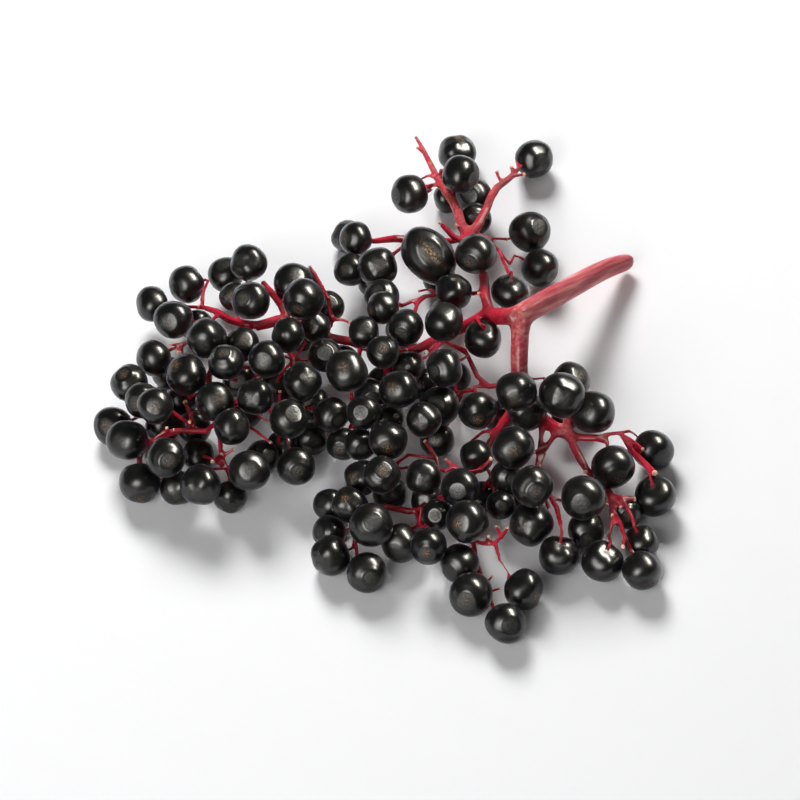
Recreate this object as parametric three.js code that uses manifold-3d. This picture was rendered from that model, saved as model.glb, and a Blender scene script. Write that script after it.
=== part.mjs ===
// A picked elderberry cluster, lying on a table with its cut main stalk at the back right.
// Millimetres, +Z up. The stalk forks into three branches, the branches carry sprigs, and each
// sprig is one grown piece: a small forked stem with the berries that hang on it.
import * as THREE from 'three';
import Module from 'manifold-3d';
import { mergeVertices } from 'three/addons/utils/BufferGeometryUtils.js';

const wasm = await Module();
wasm.setup();

// ---- driving dimensions ----------------------------------------------------------------------
const LOOK_DOWN = THREE.MathUtils.degToRad(50); // places are given on a plan that leans this much
const OBLATE = 0.86; // half height of a ripe berry, against its radius
const SCAR = 0.4; // radius of the flat flower scar, against the berry's radius
const GAP = 0.3; // air left between two neighbouring pieces
const BERRY_SIDES = 7;
const STEM_SIDES = 6;
const PEDICEL_SIDES = 4;
const PEDICEL = 0.36; // radius of the thin stalk that a berry hangs on
const PEDICEL_END = 0.45; // the same where it widens into the berry
const SINK = 0.35; // how far a pedicel reaches into its berry
const SETTLE_ROUNDS = 400;
const STEM_ROUNDS = 12;

const SKIN = new THREE.MeshStandardMaterial({ color: '#15160f', roughness: 0.28, metalness: 0 });
const BARK = new THREE.MeshStandardMaterial({ color: '#a31d2e', roughness: 0.45, metalness: 0 });

// ---- the leaning plan ------------------------------------------------------------------------
// A place is [across, up the plan, height over the table]. The plan leans back, so a place that
// is higher over the table is also further up the plan.
const ACROSS = new THREE.Vector3(1, 0, 0);
const UP_PLAN = new THREE.Vector3(0, Math.sin(LOOK_DOWN), Math.cos(LOOK_DOWN));
const OUT_OF_PLAN = new THREE.Vector3(0, -Math.cos(LOOK_DOWN), Math.sin(LOOK_DOWN));

function spot([across, up, height]) {
  const back = (up - height * Math.cos(LOOK_DOWN)) / Math.sin(LOOK_DOWN);
  return new THREE.Vector3(across, back, height);
}

// A direction from its parts across and up the plan; side is -1 where it points into the plan.
function heading(across, up, side) {
  const out = side * Math.sqrt(Math.max(0, 1 - across * across - up * up));
  const way = ACROSS.clone().multiplyScalar(across);
  way.addScaledVector(UP_PLAN, up).addScaledVector(OUT_OF_PLAN, out);
  return way.normalize();
}

// ---- the pieces ------------------------------------------------------------------------------
// Each piece is a list of twigs. A twig is { stem, berries }: the stem's points are
// [across, up, height, radius], and every berry hangs on the stem's last point.
// A berry is [across, up, height, radius, scar across, scar up, side, stretch]: the flower scar
// points where the next numbers say, side is -1 where it points down into the cluster, and a
// height of 0 means that the berry lies on the table. Stretch is for the one twin berry.
const pieces = {
  main_stalk: [
    { stem: [[38.7, 23.4, 1.6, 1.4], [35.4, 22.5, 4.4, 1.55], [30.6, 20, 8.6, 1.65],
      [25, 16.9, 13.4, 1.8], [21.2, 14.8, 16.6, 2.1], [19.4, 13.9, 17.4, 1.7]] },
    { stem: [[25.6, 17.6, 13.6, 0.6], [26.2, 19.3, 13.6, 0.45]] },
  ],
  branch_low: [
    { stem: [[20.6, 13.9, 16.8, 1.5], [19.9, 11, 15.6, 1.4], [19.8, 8, 13.8, 1.35], [19.7, 5, 12, 1.3],
      [20.3, 1.5, 9.4, 1.1], [22.6, -2, 7.4, 0.95], [25, -4.1, 6.6, 0.85], [27.6, -5.7, 6.4, 0.9],
      [28.6, -6.1, 6.4, 0.8]] },
    { stem: [[27.8, -5.6, 6.8, 0.6], [27.9, -4, 7.6, 0.5], [27, -1.9, 8.4, 0.42]] },
  ],
  branch_left: [
    { stem: [[19.6, 14.2, 17.2, 1.5], [17, 13.9, 15.6, 1.45], [15, 14.1, 14.2, 1.35],
      [13.2, 13.5, 12.6, 1.1],
      [9.5, 11.6, 10, 0.9], [5.3, 10, 8.6, 0.75], [2, 8, 8, 0.7], [-2, 7.5, 7, 0.7], [-7, 9.5, 6.6, 0.7],
      [-12.5, 10.6, 7, 0.75], [-18, 13.2, 9, 0.9], [-21, 13.2, 9.6, 0.95], [-24, 12.3, 9.6, 0.85]] },
  ],
  branch_up: [
    { stem: [[15.2, 14.3, 14.2, 0.85], [14.8, 15.6, 14, 0.8], [14, 17.5, 14, 0.75], [14.2, 20, 13, 0.75],
      [13, 24, 11, 0.9], [11.8, 27, 10, 1.15], [11.2, 27.7, 9.8, 1]] },
    { stem: [[14.2, 17.3, 14, 0.45], [13.1, 17.8, 14.6, 0.38]] },
    { stem: [[11.2, 26.6, 10.2, 0.6], [9.3, 26.7, 10.6, 0.55], [8.4, 28, 10.6, 0.45],
      [6.7, 29.7, 10.4, 0.32]] },
  ],
  ray_top_left: [
    { stem: [[11.4, 27.2, 10, 0.95], [10.2, 29.5, 9.6, 0.9], [9.6, 32, 9.2, 0.85], [8.3, 34.3, 8.8, 0.75],
      [6.8, 36.3, 8.5, 0.65], [5.7, 38.5, 8.2, 0.55], [4.5, 41, 8, 0.48], [3.4, 43, 8, 0.4],
      [2.7, 44.3, 8, 0.32]] },
    { stem: [[4.2, 41.6, 8, 0.36], [2.9, 42.5, 8.3, 0.28]] },
    { stem: [[10.2, 29.4, 9.8, 0.4], [9.4, 29.2, 10.6, 0.36]] },
    { stem: [[6.2, 37.4, 8.4, 0.36], [5, 37.8, 8.6, 0.32], [3.6, 37.2, 8.6, 0.3]] },
  ],
  ray_top_right: [
    { stem: [[12, 27.4, 9.8, 1], [13.5, 30, 9, 0.8], [14.7, 32.5, 8.4, 0.75], [15.5, 34.5, 8, 0.7],
      [17.2, 36.7, 7.2, 0.62], [18.8, 37.6, 6.6, 0.55], [20, 39, 5.6, 0.42]],
      berries: [[22.6, 40.7, 0, 3.3, 0.5, -0.2]] },
    { stem: [[17, 36.6, 7.3, 0.42], [16.3, 38.4, 7, 0.36]] },
    { stem: [[19, 37.7, 6.6, 0.4], [20.9, 38, 6.6, 0.34]] },
    { stem: [[19.3, 38, 6.4, 0.38], [18.8, 39.2, 6.4, 0.34]] },
  ],
  ray_left: [
    { stem: [[-22.5, 12.6, 9.6, 0.8], [-26, 12.6, 9.4, 0.8], [-28.4, 13.4, 8.8, 0.7], [-31, 15, 8, 0.6],
      [-33.4, 15.7, 7.6, 0.42]] },
    { stem: [[-24.2, 12.3, 9.6, 0.45], [-25.4, 11, 10.4, 0.4]] },
  ],
  ray_left_front: [
    { stem: [[-18.5, 12.6, 9, 0.7], [-21, 7.5, 8, 0.65], [-24.5, 2.6, 7.6, 0.65], [-28, -1.6, 7.6, 0.6],
      [-31, -4.8, 7.6, 0.55], [-34, -5.2, 7.6, 0.5], [-37.4, -5, 7.8, 0.45]] },
    { stem: [[-29.6, -3.2, 7.6, 0.5], [-29.8, -6, 6.6, 0.5], [-29.6, -9, 6, 0.45]] },
  ],
  ray_low: [
    { stem: [[20.2, 2.4, 10, 0.8], [19, -0.8, 8.6, 0.75], [17.1, -3.8, 7.4, 0.85], [15.6, -5.4, 6.8, 0.6],
      [14.4, -8.5, 6.4, 0.55], [13.2, -11.6, 7, 0.5]] },
    { stem: [[16.4, -4.4, 7.2, 0.45], [13.4, -5.4, 7, 0.4], [11.6, -7, 6.6, 0.34]] },
    { stem: [[13.6, -11, 6.9, 0.5], [14.6, -10.4, 8.6, 0.5], [15.1, -9.7, 9.4, 0.42]] },
    { stem: [[13, -11.8, 7.4, 0.45], [11.2, -11.9, 8.4, 0.5], [9.3, -11, 9, 0.5], [8.2, -10.4, 9, 0.4],
      [7.6, -9.8, 9.4, 0.36]] },
    { stem: [[9.2, -11, 9, 0.45], [8.4, -11.4, 9, 0.45], [6.6, -11.8, 8.4, 0.42], [6.2, -9.9, 8, 0.42],
      [5.2, -8.3, 8, 0.42], [4.2, -6.8, 8, 0.42]] },
    { stem: [[6, -9.6, 8, 0.38], [3.8, -9.3, 7.6, 0.4], [1, -9, 6.6, 0.38]] },
    { stem: [[11.4, -11.9, 8.2, 0.4], [11.2, -13, 7.4, 0.38]],
      berries: [[10, -14.5, 11, 3.3, -0.2, -0.2]] },
  ],
  ray_right: [
    { stem: [[28.4, -6, 6.4, 0.5], [30, -6.2, 6.4, 0.65], [33, -6.3, 6.4, 0.6], [34.4, -6.9, 6, 0.5]],
      berries: [[35.3, -11, 7, 3.7, 0.2, -0.62]] },
    { stem: [[32.6, -6.2, 6.5, 0.5], [34.4, -5.6, 6.6, 0.42], [36.2, -5.4, 6.6, 0.4],
      [38, -5.1, 6.2, 0.32]],
      berries: [[42, -8.3, 0, 3.5, 0.5, -0.45]] },
    { stem: [[36.4, -5.5, 6.6, 0.36], [38.7, -6.8, 6.6, 0.4], [40.2, -8.1, 6.8, 0.38]] },
  ],
  ray_right_front: [
    { stem: [[27.8, -5.8, 6.4, 0.6], [28.2, -6.8, 6.4, 0.75], [29.4, -8.6, 6.2, 0.75],
      [30.3, -10.8, 6, 0.72], [31.4, -12, 5.4, 0.55], [33, -13.6, 4.6, 0.55], [34.6, -15.2, 5, 0.6],
      [35.2, -17, 5.2, 0.8], [35.4, -19, 4.8, 0.6]] },
    { stem: [[30.4, -11, 6, 0.5], [30.7, -11.8, 7, 0.4]] },
    { stem: [[35.2, -16.2, 5.2, 0.7], [36.8, -16.3, 5.4, 0.6], [38.7, -16.3, 5.8, 0.42]] },
    { stem: [[35, -16.8, 5.3, 0.4], [34.2, -17.2, 6, 0.38]] },
    { stem: [[35.6, -16.8, 5.3, 0.45], [36.5, -17.6, 6, 0.42]] },
  ],
  // sprigs of the left head, from its tip to the middle
  sprig_left_tip: [
    { stem: [[-31, 15, 8, 0.45], [-34.4, 15.6, 6.6, 0.42], [-37.6, 15.6, 5.6, 0.4]],
      berries: [[-41.4, 16.1, 5.6, 3, -0.95, 0], [-37.7, 13.4, 10, 3.3, -0.35, -0.15],
        [-33.8, 12.4, 0, 2.8, -0.4, 0.2, -1]] },
    { stem: [[-33.2, 15.4, 7, 0.4], [-33, 16.8, 7.4, 0.38], [-32.8, 18.4, 7.4, 0.36]],
      berries: [[-35.7, 19.4, 6.6, 3.2, -0.85, -0.3]] },
  ],
  sprig_left_back: [
    { stem: [[-26.8, 12.8, 9.2, 0.42], [-27, 16, 8, 0.4], [-27.1, 18.6, 7.4, 0.4]],
      berries: [[-29.2, 21.1, 6.6, 3, -0.2, 0.6], [-25.3, 22.9, 9, 3.2, -0.5, 0.25],
        [-24.8, 16.6, 14, 3.3, -0.55, 0.15], [-27.6, 17.2, 9, 2.6, -0.3, 0.1]] },
  ],
  sprig_left_top: [
    { stem: [[-18, 13.4, 9.2, 0.7], [-19.5, 15.4, 9.8, 0.7], [-21, 17.4, 9.8, 0.6],
      [-22.8, 19.6, 8.8, 0.5]] },
    { stem: [[-19.7, 15.6, 9.8, 0.45], [-19, 17, 9.4, 0.42]],
      berries: [[-17.8, 19.4, 10.6, 3.5, 0.1, 0.5], [-16, 16.8, 15, 3.55, -0.35, -0.6]] },
    { stem: [[-20.8, 17, 9.9, 0.38], [-21.6, 18.2, 10.6, 0.36]] },
  ],
  sprig_left_nose: [
    { stem: [[-13, 10.8, 7.2, 0.5], [-11.4, 12.6, 8.4, 0.48], [-11.2, 14, 8.8, 0.45]],
      berries: [[-11.9, 15.6, 10, 2.7, 0.1, 0.3], [-14.1, 12.3, 10, 2.7, -0.3, 0],
        [-16.4, 19.6, 0, 3, 0.2, 0.5, -1]] },
    { stem: [[-11.2, 13.6, 8.8, 0.42], [-11.6, 16, 12.6, 0.42], [-13, 19, 12.6, 0.36],
      [-15, 22.3, 11.4, 0.3]] },
    { stem: [[-11.3, 13.4, 8.8, 0.4], [-9.4, 13.4, 9.6, 0.36], [-8.3, 12.9, 9.8, 0.34]] },
  ],
  sprig_left_side: [
    { stem: [[-30.4, 14.6, 8.2, 0.45], [-33, 11.4, 8, 0.42], [-36.4, 9, 8.6, 0.42]],
      berries: [[-32.1, 10.3, 13.6, 3.4, -0.25, -0.55], [-41, 7, 8.4, 3.1, -0.8, -0.4],
        [-38.6, 4.6, 0, 2.8, -0.6, 0.2, -1]] },
    { stem: [[-36, 9.2, 8.6, 0.36], [-38.1, 9.1, 9.6, 0.34]] },
    { stem: [[-36.2, 9, 8.6, 0.36], [-37, 8, 9.6, 0.34]] },
  ],
  sprig_left_edge: [
    { stem: [[-33.6, -5.2, 7.6, 0.45], [-36, -3.2, 6, 0.42], [-39, -1, 5, 0.4]],
      berries: [[-45, 2.9, 7, 3.2, -0.35, 0.55], [-42.7, 0, 6.6, 3, -0.5, -0.2],
        [-40.4, -0.9, 10, 3.1, 0, 0], [-47.7, -4.3, 0, 3.3, -0.45, 0]] },
    { stem: [[-34.6, -4.4, 7, 0.5], [-34.6, -2.4, 9.6, 0.5], [-35.6, -0.3, 9.8, 0.4]] },
    { stem: [[-34.6, -2.6, 9.4, 0.36], [-34.8, -3.6, 10.2, 0.34]] },
  ],
  sprig_left_front: [
    { stem: [[-36.4, -5, 7.8, 0.42], [-39.4, -5.3, 7.6, 0.4], [-41, -6.6, 6.4, 0.4]],
      berries: [[-45.2, -6.6, 6, 3.5, -0.5, -0.05], [-38.7, -9.5, 6.4, 3.4, 0.2, -0.2],
        [-43, -13.7, 0, 3.5, 0, -0.85], [-36.8, -14.4, 0, 3, -0.1, -0.6],
        [-39.4, -4.2, 0, 3, -0.4, 0.2, -1], [-34.2, -4.4, 0, 2.9, 0.2, 0.1, -1]] },
    { stem: [[-38.2, -5.1, 7.8, 0.36], [-38.6, -4.6, 8.8, 0.34]] },
  ],
  sprig_left_crown: [
    { stem: [[-22.4, 5.4, 7.8, 0.5], [-27, 5.4, 8.2, 0.45], [-31, 6.2, 8.6, 0.42]],
      berries: [[-35.4, 4.2, 12.6, 3.5, -0.6, 0.5], [-28.8, 6.3, 15.4, 3.1, -0.2, 0.6],
        [-26.1, 9.3, 12, 2.9, 0.1, 0.3], [-36.2, 0.4, 0, 2.9, -0.3, 0.2, -1],
        [-26.6, 3.4, 0, 3, 0.2, 0.1, -1]] },
  ],
  sprig_left_heart: [
    { stem: [[-19.8, 10, 8.4, 0.5], [-18.6, 8.2, 8.6, 0.45], [-17.6, 6.8, 8.8, 0.42]],
      berries: [[-22.1, 6.8, 15.4, 3.15, -0.2, -0.15], [-18.6, 10.8, 14, 3, -0.8, 0],
        [-16.1, 3, 14, 3.2, 0.35, 0.3], [-12.4, 7.5, 11, 2.9, 0, 0.2], [-16.6, 11, 0, 2.9, 0.3, 0.2, -1],
        [-20.2, 2.4, 0, 3, 0.1, -0.2, -1]] },
  ],
  sprig_left_low: [
    { stem: [[-26.4, 0.2, 7.6, 0.4], [-26.8, -1.4, 9.6, 0.42]],
      berries: [[-23.9, 0.5, 13.6, 3.1, -0.25, -0.1], [-30.6, -0.2, 12.4, 3.3, 0.2, 0.15],
        [-27.8, -4.4, 11, 3.1, 0.7, 0]] },
    { stem: [[-26.8, -1.4, 9.4, 0.36], [-25, -4.8, 9.2, 0.36], [-23, -5.5, 9.6, 0.34],
      [-21.4, -7, 9.4, 0.32]] },
  ],
  sprig_left_corner: [
    { stem: [[-29.7, -8, 6.2, 0.45], [-29.4, -9.6, 5.4, 0.42], [-28.8, -11.2, 4.6, 0.42]],
      berries: [[-32.9, -14, 6.6, 3.5, -0.35, -0.5], [-28.1, -16, 0, 2.9, 0, -0.8],
        [-24.9, -11.6, 7, 3.5, 0.05, 0], [-22.8, -9.5, 3.4, 3, 0.5, 0.1],
        [-33.4, -9, 0, 2.7, -0.4, 0.1, -1]] },
    { stem: [[-29.6, -9, 6, 0.42], [-31, -10.2, 7, 0.38]] },
    { stem: [[-29.5, -9.2, 5.8, 0.42], [-27.4, -8.1, 6.6, 0.4]] },
  ],
  sprig_left_bay: [
    { stem: [[-24.4, 2.6, 7.6, 0.5], [-21.6, -1.6, 6.4, 0.45], [-19.4, -5, 5.6, 0.42]],
      berries: [[-18.4, -3.1, 11.4, 3.3, 0.3, 0.3], [-11.3, -2.4, 9.4, 3, 0.5, -0.4],
        [-17.1, -10.9, 4.8, 3.3, 0.15, -0.35], [-14.8, -6.4, 3.6, 2.8, 0.4, -0.2],
        [-25.6, -2, 0, 2.8, 0.3, -0.3, -1], [-14.4, -0.6, 0, 2.8, 0.3, 0.1, -1],
        [-19.6, -7.8, 0, 2.8, 0.2, -0.2, -1]] },
    { stem: [[-20.4, -3.4, 6, 0.36], [-19.9, 1.4, 8.6, 0.34]] },
  ],
  // sprigs of the middle
  sprig_middle_left: [
    { stem: [[-6.4, 9.2, 6.6, 0.5], [-6.8, 7.4, 7.2, 0.45]],
      berries: [[-8.8, 4.8, 14, 3.6, -0.2, 0.2], [-6, 11.3, 11.6, 2.7, 0, 0.3],
        [-4.8, 0.8, 9.6, 2.9, 0.1, -0.3], [-9.6, 6.4, 0, 2.9, -0.3, 0.3, -1]] },
    { stem: [[-6.8, 7.6, 7, 0.36], [-8.6, -0.6, 5, 0.36], [-7.6, -3, 4.6, 0.34]],
      berries: [[-9.5, -7.2, 3.8, 2.8, -0.2, -0.4], [-6.6, -7.3, 4.4, 2.7, 0.2, -0.4],
        [-6, -2, 9, 2.9, -0.2, 0]] },
  ],
  sprig_middle_back: [
    { stem: [[14, 17.7, 13.8, 0.5], [10.4, 17.8, 9.6, 0.45], [6, 18, 9.8, 0.42], [4, 17.3, 10.4, 0.4]],
      berries: [[-3, 17.3, 9, 3, -0.3, 0.4]] },
    { stem: [[4.6, 17.5, 10.2, 0.36], [1.6, 16.4, 11.4, 0.34], [0.4, 15.8, 11.8, 0.34]],
      berries: [[-2.8, 15.4, 14, 2.8, -0.85, -0.2]] },
    { stem: [[4.4, 17.4, 10.2, 0.36], [3, 16.2, 11.4, 0.34]],
      berries: [[1, 12.2, 13, 3, -0.3, -0.5], [0.4, 11.8, 0, 2.9, 0, 0.4, -1]] },
    { stem: [[6.4, 18, 9.8, 0.36], [4.6, 18.6, 9.8, 0.34], [3.2, 18.2, 9.8, 0.32]] },
  ],
  sprig_middle_core: [
    { stem: [[0.4, 7.5, 7.6, 0.5], [-1.4, 5.8, 7.6, 0.5], [-2.4, 4.6, 7.4, 0.45]],
      berries: [[-0.2, 1.8, 14, 3.3, -0.4, 0.1], [-2.8, 8, 10.6, 2.8, 0, 0.3],
        [-2.3, -3.2, 8, 2.9, 0, -0.8],
        [-2, -6.6, 8, 3.3, 0, -0.5], [-2.6, 3.2, 0, 2.9, 0, 0.2, -1], [3.6, 2.8, 0, 2.8, 0.2, 0.1, -1]] },
    { stem: [[-0.4, 6.8, 7.6, 0.36], [1.1, 8.4, 9.6, 0.34]] },
  ],
  sprig_middle_top: [
    { stem: [[8.4, 11.2, 9.4, 0.5], [7.4, 9.9, 10, 0.45]],
      berries: [[7.3, 13, 14, 3.3, 0, 0.75], [1.4, 5.6, 9.6, 2.7, -0.6, -0.3],
        [7.4, 5.3, 13.6, 3.3, -0.7, -0.2]] },
  ],
  sprig_middle_high: [
    { stem: [[9.4, 11.6, 9.8, 0.4], [9.6, 13.8, 8.8, 0.4]],
      berries: [[8.9, 18.1, 12, 3.1, 0.3, 0.8], [7.6, 14.4, 0, 2.8, 0, 0.3, -1]] },
  ],
  sprig_middle_right: [
    { stem: [[19.7, 3.4, 11, 0.6], [15.6, 2.1, 9, 0.5], [13.5, 3.1, 9, 0.48], [12.3, 5, 9.4, 0.45],
      [11.5, 7, 9.8, 0.4], [10.2, 9, 10.2, 0.36], [8.4, 9.4, 10.6, 0.34]] },
    { stem: [[15.4, 2.1, 9, 0.42], [12.4, 2.2, 8, 0.4], [10.4, 1.4, 7, 0.4]],
      berries: [[6.5, -0.9, 8.6, 3.4, -0.2, 0.1], [4, -3.2, 11, 3, -0.3, -0.2],
        [12.9, -1.7, 11, 3.3, 0, -0.6], [6.2, -6.6, 4, 2.9, -0.2, 0], [9.2, 3.8, 0, 2.8, 0, 0.5, -1]] },
  ],
  sprig_middle_drop: [
    { stem: [[13, 13.3, 12.6, 0.42], [12.9, 13.6, 14.6, 0.36], [13.3, 12.6, 15.4, 0.34]],
      berries: [[13.8, 10.2, 12, 3.2, -0.1, -0.65, -1]] },
  ],
  // sprigs of the lower middle
  sprig_low_left: [
    { stem: [[1.4, -9.1, 6.8, 0.4], [-0.8, -10.6, 5.4, 0.4], [-3.2, -11.8, 4.4, 0.38]],
      berries: [[-6.4, -12.8, 4.6, 3, -0.6, 0], [-3, -12.3, 9, 3.2, 0.1, 0.3],
        [3.9, -12.7, 8.6, 3.05, 0.1, -0.3], [-1.7, -15.4, 0, 2.9, -0.2, 0.1, -1]] },
  ],
  sprig_low_hook: [
    { stem: [[12.6, -12.4, 7, 0.5], [8.4, -15.6, 4.6, 0.5], [3, -18.6, 3.8, 0.6], [0.4, -17.9, 3.6, 0.6],
      [-3, -17.6, 3.2, 0.5], [-6.6, -19.4, 2.6, 0.42]],
      berries: [[-11.7, -17.2, 0, 2.7, -0.6, 0.3], [-8.3, -17.2, 6.4, 3, -0.3, 0.35],
        [-4.7, -20.5, 7.6, 3.7, 0.1, 0.15], [-11.7, -21.7, 3.6, 2.8, -0.7, 0]] },
    { stem: [[-5.6, -19, 2.8, 0.4], [-7.4, -22.4, 2.6, 0.38]],
      berries: [[-11.4, -25.7, 0, 3.45, -0.8, -0.25], [-5.5, -28.4, 0, 3.45, 0.25, -0.3]] },
    { stem: [[2.6, -18.6, 3.8, 0.42], [3.2, -20.6, 3.6, 0.38]],
      berries: [[0.1, -23.6, 0, 3.3, -0.3, -0.5], [4.7, -24, 6, 3.1, -0.1, -0.5],
        [6.2, -18.8, 6.4, 2.6, -0.2, -0.1], [4.5, -16.6, 0, 2.8, 0.2, 0.1, -1]] },
  ],
  sprig_low_right: [
    { stem: [[13.6, -10.6, 6.8, 0.45], [15.2, -12.6, 6, 0.42]],
      berries: [[12.7, -9.3, 8, 2.9, 0.1, -0.8], [16.6, -17.3, 6, 2.5, 0.1, -0.1],
        [17.6, -12.6, 6.4, 2.7, 0.4, -0.2], [13.6, -16, 0, 2.7, 0, -0.4, -1]] },
  ],
  sprig_low_far: [
    { stem: [[16.6, -4.6, 7.2, 0.45], [16.2, -6.6, 5.6, 0.42]],
      berries: [[18.7, -7.8, 9.6, 3.55, 0.1, -0.2], [16.4, -2.6, 0, 2.8, -0.1, 0.2, -1]] },
  ],
  sprig_low_front: [
    { stem: [[9.6, -14.8, 5.2, 0.5], [11, -19, 3.4, 0.5], [12.2, -23.4, 3.2, 0.5], [14.6, -23.4, 5, 0.48],
      [15.8, -23.8, 5, 0.48], [15.9, -25, 4.8, 0.4], [16.8, -27, 4.4, 0.22], [18, -28.7, 4, 0.2]],
      berries: [[20.4, -31.1, 0, 3.4, 0.75, -0.4]] },
    { stem: [[11.2, -20, 3.3, 0.4], [10, -21.8, 3.6, 0.38]],
      berries: [[11.1, -19.9, 8.6, 3.6, -0.5, -0.1], [9.8, -26.9, 6, 3.3, -0.6, -0.5]] },
    { stem: [[12.1, -23, 3.2, 0.42], [12.6, -26.6, 2.4, 0.42], [13.8, -30, 2.2, 0.4],
      [14.8, -32.2, 2.2, 0.4]],
      berries: [[11.6, -31.9, 0, 3.7, -0.25, -0.35], [17.4, -36.6, 0, 3.4, 0.3, -0.15]] },
    { stem: [[14.4, -23.4, 5, 0.36], [14.6, -22.5, 6, 0.36]] },
    { stem: [[14.8, -31, 2.2, 0.34], [16.5, -31, 2.6, 0.28]] },
    { stem: [[14.2, -30.4, 2.2, 0.34], [15.2, -29, 2.8, 0.28]] },
    { stem: [[15.4, -23.4, 5, 0.42], [16.8, -22.5, 5.4, 0.42], [17.8, -21.1, 5.2, 0.36]] },
    { stem: [[16.6, -22.6, 5.4, 0.36], [15.9, -20.9, 5.6, 0.32]] },
  ],
  sprig_low_edge: [
    { stem: [[22.6, -3, 7.2, 0.5], [23.4, -7, 5.6, 0.45], [22.8, -10, 5.2, 0.42],
      [22.4, -12.4, 4.8, 0.4]],
      berries: [[21.8, -14.2, 10, 3.5, 0.2, -0.3], [21.6, -20.4, 6, 3.7, -0.5, -0.15],
        [20, -15.6, 0, 2.8, 0, -0.3, -1]] },
  ],
  // sprigs of the right head
  sprig_right_near: [
    { stem: [[20, 3.2, 10.6, 0.5], [20.2, 3.4, 12, 0.42]],
      berries: [[19.2, 1.4, 15, 3.45, 0, -0.45]] },
  ],
  sprig_right_mid: [
    { stem: [[21.8, -0.8, 8, 0.4], [21.6, -0.2, 9, 0.4]],
      berries: [[21, -1.9, 10, 3.3, 0.1, -0.5]] },
  ],
  sprig_right_far: [
    { stem: [[19.8, 4.2, 11.4, 0.36], [22.2, 3.5, 9.6, 0.3], [24, 3.7, 8, 0.28]],
      berries: [[28.4, 3.1, 6, 3.3, 0.6, 0.4]] },
  ],
  sprig_right_top: [
    { stem: [[27.6, -3.6, 7.8, 0.45], [28.4, -1.6, 5.6, 0.42]],
      berries: [[26.8, 0.9, 12, 3.9, 0.1, -0.2], [31.9, -2, 11, 3.75, -0.45, 0.2],
        [27.6, -2.6, 4.4, 2.5, -0.3, 0]] },
  ],
  sprig_right_side: [
    { stem: [[36.8, -5.8, 6.6, 0.5], [38.6, -8.6, 5.4, 0.6], [40.2, -10.2, 5.6, 0.6],
      [42.1, -12, 6.4, 0.5]] },
    { stem: [[40.6, -10.6, 5.8, 0.4], [41.3, -12, 6.6, 0.38]],
      berries: [[42.2, -15.8, 0, 3.5, 0.15, -0.55, -1]] },
  ],
  sprig_right_front: [
    { stem: [[35.3, -18.4, 4.9, 0.42], [36.1, -19.6, 5.4, 0.42], [36.7, -21.5, 6.4, 0.4],
      [37.3, -23, 6.6, 0.4]],
      berries: [[39.9, -28, 0, 3.4, 0.4, -0.75]] },
    { stem: [[37, -22.2, 6.5, 0.36], [36.7, -24.1, 7.2, 0.38]] },
  ],
  sprig_right_hook: [
    { stem: [[36.8, -16.5, 5.4, 0.42], [37.6, -17.9, 6.2, 0.42], [38.4, -19.5, 6, 0.34]],
      berries: [[39.8, -23.4, 0, 2.9, 0.3, -0.65, -1]] },
    { stem: [[37.2, -17.3, 6, 0.34], [37.9, -17.2, 3.6, 0.34]],
      berries: [[37.3, -18.5, 0, 2.8, 0.2, -0.3]] },
  ],
  sprig_right_drop: [
    { stem: [[35.4, -19, 4.8, 0.45], [34.9, -20.6, 5.6, 0.36], [34.4, -22.4, 5.8, 0.34]],
      berries: [[33.3, -26.6, 0, 3.5, -0.3, -0.55, -1]] },
  ],
  sprig_right_inner: [
    { stem: [[26.4, -5.2, 6.6, 0.55], [24.6, -7.4, 5.6, 0.5], [22.7, -10.4, 5, 0.45],
      [24, -14.4, 4.6, 0.42], [25.8, -17.4, 4.8, 0.5], [26.5, -20.6, 5.4, 0.45]],
      berries: [[26.2, -25.6, 0, 3.4, -0.1, -0.6, -1]] },
    { stem: [[25.8, -15.6, 4.6, 0.4], [28.4, -17.2, 3.8, 0.38]],
      berries: [[30.3, -16.1, 8.4, 3.85, -0.15, -0.33], [30.7, -21.4, 0, 3.2, 0.1, -0.6]] },
    { stem: [[24.4, -7.6, 5.6, 0.42], [23.4, -8, 6, 0.4], [22.2, -8.6, 6.2, 0.38]] },
  ],
  // sprigs of the top
  sprig_top_tip: [
    { stem: [[7, 36.1, 8.4, 0.42], [5.6, 36.2, 8.2, 0.38], [4.4, 35.9, 8, 0.36]],
      berries: [[1.6, 34.6, 7, 3.3, -0.85, -0.1]] },
  ],
  sprig_top_pair: [
    { stem: [[7.4, 35.5, 8.5, 0.4], [8.4, 36.6, 6.8, 0.38]],
      berries: [[9.7, 41.6, 0, 3.3, 0.15, 0.85], [10.2, 37.9, 9.6, 3.3, 0.8, -0.3],
        [8.1, 34, 0, 2.5, -0.3, 0.2, -1]] },
  ],
  sprig_top_core: [
    { stem: [[15.2, 34, 8, 0.42], [14.2, 36, 6, 0.4]],
      berries: [[12.4, 34.4, 6.6, 3.1, -0.3, 0]] },
  ],
  sprig_top_inner: [
    { stem: [[14.2, 31.6, 8.6, 0.4], [12.8, 31.4, 6.8, 0.38]],
      berries: [[12.6, 30.4, 4.6, 2.8, 0, -0.2]] },
  ],
  sprig_top_left: [
    { stem: [[11.6, 26.8, 10.4, 0.5], [5.6, 26.6, 6.6, 0.6], [0.6, 27, 8, 0.75], [-2.6, 27.1, 8, 0.7],
      [-4.6, 26.6, 7.6, 0.5]],
      berries: [[-8.7, 27.4, 0, 2.9, -0.6, 0.4], [-7.4, 27.1, 8.6, 2.9, -0.75, 0]] },
    { stem: [[1.6, 26.8, 7.8, 0.45], [0, 25.3, 8, 0.4], [-1, 24.6, 7.6, 0.38]],
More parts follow.
